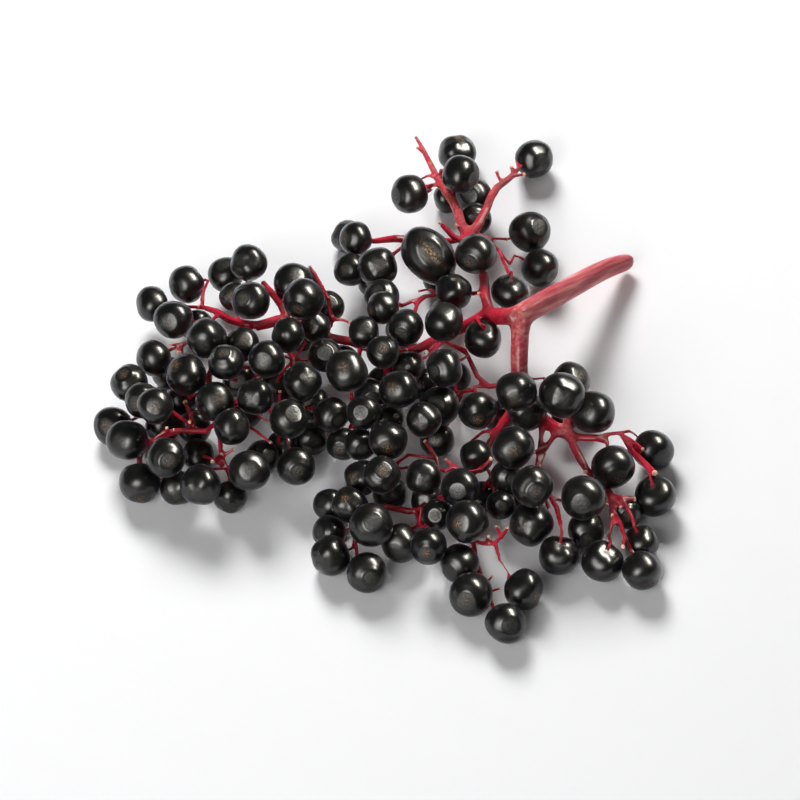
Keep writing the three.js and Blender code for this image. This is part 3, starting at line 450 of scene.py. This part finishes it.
def berry_mesh(name, number, maker, strip=1.0):
    """One berry of radius 1, its scar up +Z, a little lumpy, with a five-part star in its scar.
    Strip draws the rusty heart of the scar out along X and narrows it along Y."""
    scar_width = maker.uniform(0.42, 0.52)
    clear = 0.7 if strip > 1 else 0.2 + 0.7 * (number % 4) / 3
    profile = berry_profile(scar_width, maker.uniform(2.08, 2.4), clear)
    waves = [(maker.randint(1, 4), maker.uniform(0, math.tau), maker.uniform(0.008, 0.022),
              maker.uniform(-1, 1)) for _ in range(LUMPS)]
    teeth = maker.uniform(0, math.tau)
    heart = 0.4 * scar_width
    corners, marks, faces, starts = [], [], [], []
    for out, along, scar, hollow in profile:
        starts.append(len(corners))
        for i in range(1 if out < POLE else ROUND):
            turn = math.tau * i / ROUND
            swell = 1 + smooth_step(out, 0, LUMPS_WHOLE) * sum(
                size * math.sin(count * turn + start + tilt * along * 3)
                for count, start, size, tilt in waves)
            tooth = math.cos(STAR_ARMS * turn + teeth)
            star = STAR_HEIGHT * tooth * bell(out / scar_width, 0.42, 0.22) * scar
            x, y = out * math.cos(turn), out * math.sin(turn)
            corners.append((x * swell, y * swell, along * swell + star))
            rust = bell(x, 0, heart * strip) * bell(y, 0, heart / strip) if along > 0 else 0.0
            if strip == 1 and out > POLE:
                rust *= 0.8 + 0.2 * tooth
            marks.append((scar, rust, hollow))
    for row, (a, b) in enumerate(zip(starts, starts[1:])):
        for i in range(ROUND):
            j = (i + 1) % ROUND
            if row == 0:
                faces.append((a, b + i, b + j))
            elif row == len(starts) - 2:
                faces.append((a + i, b, a + j))
            else:
                faces.append((a + i, b + i, b + j, a + j))
    mesh = mesh_from(name, corners, faces)
    for index, key in enumerate(("scar", "heart", "hollow")):
        layer = mesh.attributes.new(key, "FLOAT", "POINT")
        layer.data.foreach_set("value", [mark[index] for mark in marks])
    layer = mesh.attributes.new("on_berry", "FLOAT_VECTOR", "POINT")
    layer.data.foreach_set("vector", [c + number * PATTERN_STEP for corner in corners for c in corner])
    return new_object(name, mesh)


def berry_tree(shapes, skin):
    """Puts a berry on every point: its attributes say which shape, how turned and how large."""
    tree = bpy.data.node_groups.new("grow_berries", "GeometryNodeTree")
    sockets = tree.interface
    sockets.new_socket(name="Points", in_out="INPUT", socket_type="NodeSocketGeometry")
    sockets.new_socket(name="Plumpness", in_out="INPUT", socket_type="NodeSocketFloat")
    sockets.new_socket(name="Seed", in_out="INPUT", socket_type="NodeSocketInt")
    sockets.new_socket(name="Berries", in_out="OUTPUT", socket_type="NodeSocketGeometry")
    start = add_node(tree, "NodeGroupInput")
    library = add_node(tree, "GeometryNodeJoinGeometry")
    for shape in reversed(shapes):
        info = add_node(tree, "GeometryNodeObjectInfo", {"As Instance": True, "Object": shape})
        tree.links.new(info.outputs["Geometry"], library.inputs[0])
    carried = {}
    for name, kind in (("size", "FLOAT_VECTOR"), ("turn", "FLOAT_VECTOR"), ("shape", "INT")):
        carried[name] = add_node(tree, "GeometryNodeInputNamedAttribute",
                                 {"data_type": kind, "Name": name})
    size = add_node(tree, "ShaderNodeVectorMath", {"operation": "SCALE"},
                    {0: carried["size"], "Scale": start.outputs["Plumpness"]})
    turn = add_node(tree, "FunctionNodeEulerToRotation", links={0: carried["turn"]})
    chance = add_node(tree, "FunctionNodeRandomValue", {"data_type": "FLOAT"},
                      {"Seed": start.outputs["Seed"]})
    shade = add_node(tree, "GeometryNodeStoreNamedAttribute",
                     {"data_type": "FLOAT", "domain": "POINT", "Name": "ripeness"},
                     {"Geometry": start.outputs["Points"], "Value": chance.outputs[1]})
    place = add_node(tree, "GeometryNodeInstanceOnPoints", {"Pick Instance": True},
                     {"Points": shade, "Instance": library, "Instance Index": carried["shape"],
                      "Rotation": turn, "Scale": size})
    whole = add_node(tree, "GeometryNodeRealizeInstances", links={0: place})
    dressed = add_node(tree, "GeometryNodeSetMaterial", {"Material": skin}, {"Geometry": whole})
    add_node(tree, "NodeGroupOutput", links={0: dressed})
    return tree


def grown_mesh(name, points, attributes, tree, values):
    """Runs a tree on points that carry attributes, and keeps the result as a plain mesh."""
    cloud = bpy.data.meshes.new(name + "_points")
    cloud.from_pydata(points, [], [])
    for key, (kind, slot, data) in attributes.items():
        layer = cloud.attributes.new(key, kind, "POINT")
        layer.data.foreach_set(slot, data)
    holder = new_object(name + "_points", cloud)
    modifier = holder.modifiers.new("grow", "NODES")
    modifier.node_group = tree
    for item in tree.interface.items_tree:
        if item.item_type == "SOCKET" and item.in_out == "INPUT" and item.name in values:
            modifier[item.identifier] = values[item.name]
    mesh = evaluated_mesh(holder)
    mesh.name = name
    holder.modifiers.remove(modifier)
    bpy.data.objects.remove(holder)
    return new_object(name, mesh)


def berry_turn(berry, maker):
    """The turn that points +Z along the berry's axis; only the twin's long side is set as well."""
    up = Vector(berry["axis"])
    side = Vector(berry["long_way"])
    if berry["stretch"] == 1.0:
        side = Vector((maker.uniform(-1, 1), maker.uniform(-1, 1), maker.uniform(-1, 1)))
    side = (side - up * side.dot(up)).normalized()
    return Matrix((side, up.cross(side), up)).transposed()


def make_berries(skin):
    maker = random.Random(SEED)
    shapes = [berry_mesh(f"berry_shape_{i}", i, maker) for i in range(SHAPES)]
    shapes.append(berry_mesh("twin_shape", SHAPES, maker, TWIN_STRIP))
    tree = berry_tree(shapes, skin)
    pieces = []
    for node, found in berries_of.items():
        points, turns, sizes, which, golden = [], [], [], [], []
        for berry in found:
            points.append(tuple(berry["middle"]))
            turns.extend(berry_turn(berry, maker).to_euler())
            radius = berry["radius"]
            is_twin = berry["stretch"] > 1
            sizes.extend((radius * berry["stretch"], radius, radius * maker.uniform(0.97, 1.03)))
            which.append(SHAPES if is_twin else maker.randrange(SHAPES))
            golden.append(1.6 if is_twin else maker.choice((0, 0, 0, 0.2, 0.4, 0.8)))
        piece = grown_mesh(node + "_berries", points, {
            "turn": ("FLOAT_VECTOR", "vector", turns), "size": ("FLOAT_VECTOR", "vector", sizes),
            "shape": ("INT", "value", which), "golden": ("FLOAT", "value", golden),
        }, tree, {"Plumpness": PLUMPNESS, "Seed": SEED})
        pieces.append((piece, node))
    for shape in shapes:
        bpy.data.objects.remove(shape)
    return pieces


# ---- the stems -------------------------------------------------------------------------------
FADED = {"main_stalk": 1.0, "branch_low": 0.75, "branch_up": 0.2, "ray_top_left": 0.6,
         "ray_top_right": 0.3}
YOUNG = 0.08  # how faded every other stem is
WOODY = ("main_stalk", "branch_low", "branch_up")  # thick enough to be rounded where they join
WOOD_SWELL = 0.3 * MM
NECK = 0.62 * MM  # half width of a pedicel where it enters its berry
FADE_FROM, FADE_TO = 8 * MM, 19 * MM  # how far from the main fork a branch turns fresh again
GROW = 0.25 * MM  # stems grow by this before they are fused
SHRINK_BACK = 0.8  # and give up this share of it after
VOXEL = 0.18 * MM
STEM_TRIANGLES = 190_000
SKIN_ROUNDS = 8  # rounds of smoothing on the fused skin
FADE_ROUNDS = 80  # on the colour, so that it changes slowly from stem to stem
FORK_ROUNDS = 50  # on the shape of the thick stems
HALFWAY = 0.5  # how far one round takes a corner to the mean of its neighbours
BERRY_REACH = 1.02  # a packed berry's corners are within this, against its radius
NECK_RISE = 0.3  # how far a pedicel goes on into its berry, against the berry's radius
CORE_DEPTH, CORE_SIZE = 0.45, 0.1  # the rest of a packed berry shrinks to a core in there


def relaxed(values, pairs, amount, rounds):
    """Values at a mesh's corners, drawn towards the mean of their neighbours again and again."""
    ends = np.concatenate([pairs[:, 0], pairs[:, 1]])
    others = np.concatenate([pairs[:, 1], pairs[:, 0]])
    neighbours = np.maximum(np.bincount(ends, minlength=len(values)), 1)
    for _ in range(rounds):
        means = [np.bincount(ends, column[others], len(values)) / neighbours for column in values.T]
        values = values + (np.stack(means, axis=1) - values) * amount
    return values


def without_berries(node):
    """A node's corners with each berry's solid drawn back inside the fine berry."""
    places = solids[node][0].copy()
    for berry in berries_of.get(node, []):
        radius, axis, middle = berry["radius"], berry["axis"], berry["middle"]
        offset = places - middle
        along = offset @ axis
        across = np.linalg.norm(offset - along[:, None] * axis, axis=1)
        inside = np.linalg.norm(offset, axis=1) < radius * max(BERRY_REACH, berry["stretch"])
        neck = inside & (across < NECK) & (along < 0)
        body = inside & ~neck
        places[neck] += axis * radius * NECK_RISE
        places[body] = middle - axis * radius * CORE_DEPTH + offset[body] * CORE_SIZE
    return places


def fused(corners, faces):
    """Rounded stems: the solids grow until they meet, fuse in one skin, and shrink back."""
    rough = new_object("stems_rough", mesh_from("stems_rough", corners, faces))
    grow = rough.modifiers.new("grow", "DISPLACE")
    grow.mid_level = 0
    grow.strength = GROW
    fuse = rough.modifiers.new("fuse", "REMESH")
    fuse.mode = "VOXEL"
    fuse.voxel_size = VOXEL
    smooth = rough.modifiers.new("smooth", "SMOOTH")
    smooth.factor = HALFWAY
    smooth.iterations = SKIN_ROUNDS
    shrink = rough.modifiers.new("shrink", "DISPLACE")
    shrink.mid_level = 0
    shrink.strength = -GROW * SHRINK_BACK
    whole = new_object("stems_whole", evaluated_mesh(rough))
    bpy.data.objects.remove(rough)
    thin = whole.modifiers.new("thin", "DECIMATE")
    thin.ratio = min(1, STEM_TRIANGLES / sum(len(p.vertices) - 2 for p in whole.data.polygons))
    mesh = evaluated_mesh(whole)
    bpy.data.objects.remove(whole)
    return mesh


def make_stems(bark):
    """All stems as one piece, fading to salmon at the stalk, with swollen, rounded main forks."""
    corners, faces, owner = [], [], []
    for node in STEM_NODES:
        start = len(corners)
        corners.extend(map(tuple, without_berries(node)))
        faces.extend(tuple(int(i) + start for i in triangle) for triangle in solids[node][1])
        owner.extend([(FADED.get(node, YOUNG), float(node in WOODY))] * len(solids[node][1]))
    source = BVHTree.FromPolygons(corners, faces)
    mesh = fused(corners, faces)
    mesh.name = "stems"
    mesh.polygons.foreach_set("use_smooth", [True] * len(mesh.polygons))

    pairs = np.array([edge.vertices[:] for edge in mesh.edges])
    marks = np.array([owner[source.find_nearest(v.co)[2]] for v in mesh.vertices])
    faded, woody = np.hsplit(relaxed(marks, pairs, HALFWAY, FADE_ROUNDS), 2)
    places = np.array([v.co for v in mesh.vertices])
    from_fork = np.linalg.norm(places - FORK, axis=1)[:, None]
    fresh = np.clip((from_fork - FADE_FROM) / (FADE_TO - FADE_FROM), 0, 1)
    on_branch = woody * (places[:, :1] < FORK.x + FADE_FROM)
    faded = np.maximum(faded * (1 - fresh * on_branch), YOUNG)
    places = relaxed(places, pairs, HALFWAY * woody, FORK_ROUNDS)
    places += np.array([v.normal for v in mesh.vertices]) * woody * WOOD_SWELL
    mesh.vertices.foreach_set("co", places.ravel())
    layer = mesh.attributes.new("faded", "FLOAT", "POINT")
    layer.data.foreach_set("value", faded.ravel())
    mesh.materials.clear()
    mesh.materials.append(bark)
    return new_object("stems", mesh)


# ---- bare tips -------------------------------------------------------------------------------
TIP_SIZE = 0.85  # radius of a bare tip, against that of the stem it ends
TIP_LIFT = 0.05  # how far its middle stands off the stem's end, against its radius
TIP_PROFILE = ((0, 0.3), (0.35, 0.36), (0.7, 0.55), (0.95, 0.5), (1.12, 0.2), (1.05, -0.25),
               (0.85, -0.7), (0, -0.9))
TIP_ROUND = 14  # corners round a tip


def bare_tips():
    """The free ends of stems: small flat caps with four or six equal sides."""
    tips = []
    for node in STEM_NODES:
        for outline, normal in faces_of[node]:
            if len(outline) not in TIP_SIDES:
                continue
            centre = outline.mean(0)
            reach = np.linalg.norm(outline - centre, axis=1)
            if not SMALLEST_TIP < reach.min() < LARGEST_TIP:
                continue
            if reach.max() > reach.min() * EVEN_REACH:
                continue
            gaps = sorted(np.linalg.norm(a - b) for i, a in enumerate(outline) for b in outline[:i])
            if gaps[len(outline) - 1] > gaps[0] * EVEN_SIDES:
                continue
            tips.append((centre, normal, reach.mean()))
    return tips


def tip_mesh():
    """A knob of radius 1 on +Z: a swollen rim round a shallow cup."""
    corners, faces = [], []
    for out, along in TIP_PROFILE:
        for i in range(TIP_ROUND):
            turn = math.tau * i / TIP_ROUND
            corners.append((out * math.cos(turn), out * math.sin(turn), along))
    for row in range(len(TIP_PROFILE) - 1):
        for i in range(TIP_ROUND):
            j = (i + 1) % TIP_ROUND
            a, b = row * TIP_ROUND, (row + 1) * TIP_ROUND
            faces.append((a + i, b + i, b + j, a + j))
    shape = new_object("tip_shape", mesh_from("tip_shape", corners, faces))
    merge = shape.modifiers.new("merge", "WELD")
    merge.merge_threshold = 0.0001
    return shape


def make_tips(pith):
    maker = random.Random(SEED + 1)
    shape = tip_mesh()
    tree = berry_tree([shape], pith)
    tips = bare_tips()
    points, turns, sizes = [], [], []
    for centre, normal, reach in tips:
        radius = reach * TIP_SIZE * maker.uniform(0.85, 1.15)
        points.append(tuple(centre + normal * radius * TIP_LIFT))
        turns.extend(Vector(normal).to_track_quat("Z", "Y").to_euler())
        sizes.extend((radius, radius * maker.uniform(0.85, 1.0), radius))
    piece = grown_mesh("bare_tips", points, {
        "turn": ("FLOAT_VECTOR", "vector", turns), "size": ("FLOAT_VECTOR", "vector", sizes),
        "shape": ("INT", "value", [0] * len(points)),
    }, tree, {"Plumpness": 1.0, "Seed": SEED})
    bpy.data.objects.remove(shape)
    return piece


# ---- table, light and camera -----------------------------------------------------------------
def softbox(name, towards, size, power, colour, diffuse=True, glossy=True):
    """An area light that faces the cluster from far off; towards points from the cluster to it."""
    data = bpy.data.lights.new(name, "AREA")
    data.shape = "RECTANGLE"
    data.size, data.size_y = size
    data.energy = power
    data.color = linear(colour)[:3]
    light = new_object(name, data)
    towards = Vector(towards).normalized()
    light.location = MIDDLE + towards * LIGHT_DISTANCE
    light.rotation_euler = towards.to_track_quat("Z", "Y").to_euler()
    light.visible_diffuse = diffuse
    light.visible_glossy = glossy


def make_table():
    """A wide sheet of plain matt white card."""
    numbers = {"Base Color": "#f5f5f6", "Roughness": 0.8, "Specular IOR Level": 0.1}
    material = new_material("white_card", numbers)[0]
    half = TABLE / 2
    corners = [(-half, -half, 0), (half, -half, 0), (half, half, 0), (-half, half, 0)]
    mesh = mesh_from("table", corners, [(0, 1, 2, 3)], smooth=False)
    mesh.materials.append(material)
    new_object("table", mesh)


def make_world():
    world = bpy.data.worlds.new("studio")
    world.use_nodes = True
    background = world.node_tree.nodes["Background"]
    background.inputs["Color"].default_value = linear("#e6e7ea")
    background.inputs["Strength"].default_value = ROOM_LIGHT
    bpy.context.scene.world = world


def make_camera():
    data = bpy.data.cameras.new("camera")
    data.sensor_width = 36
    data.lens = data.sensor_width * CAMERA_DISTANCE / VIEW_WIDTH
    data.clip_end = 4 * CAMERA_DISTANCE
    camera = new_object("camera", data)
    back = Vector((0, -math.cos(LOOK_DOWN), math.sin(LOOK_DOWN)))
    camera.location = AIM + back * CAMERA_DISTANCE
    camera.rotation_euler = back.to_track_quat("Z", "Y").to_euler()
    bpy.context.scene.camera = camera


LOW, HIGH = (Vector(corner) for corner in CAD_BOX)
MIDDLE = (LOW + HIGH) / 2
stalk_low, stalk_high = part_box("main_stalk")
FORK = Vector((stalk_low.x, stalk_low.y, stalk_high.z))
stalk_run = Vector((stalk_high.x, stalk_high.y, stalk_low.z)) - FORK

skin = elderberry_skin()
bark = elder_stem(stalk_run.normalized())
pith = pale_pith()
berry_pieces = make_berries(skin)
stems = make_stems(bark)
tips = make_tips(pith)

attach(stems, "root")
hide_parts(*STEM_NODES)
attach(tips, "root")
for piece, node in berry_pieces:
    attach(piece, "root")
    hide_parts(node)

make_table()
make_world()
softbox("shadow_light", towards=(-0.19, 0.74, 0.64), size=(0.3, 0.3), power=7.9,
        colour="#ffffff", glossy=False)
softbox("front_fill", towards=(-0.39, -0.71, 0.55), size=(0.5, 0.5), power=3.45,
        colour="#ffffff", glossy=False)
softbox("front_softbox", towards=(-0.39, -0.71, 0.55), size=(0.26, 0.42), power=14,
        colour="#fffdf8", diffuse=False)
softbox("back_softbox", towards=(0.55, 0.33, 0.77), size=(0.56, 0.22), power=17,
        colour="#fffbee", diffuse=False)
make_camera()
bpy.context.scene.view_settings.view_transform = "Standard"
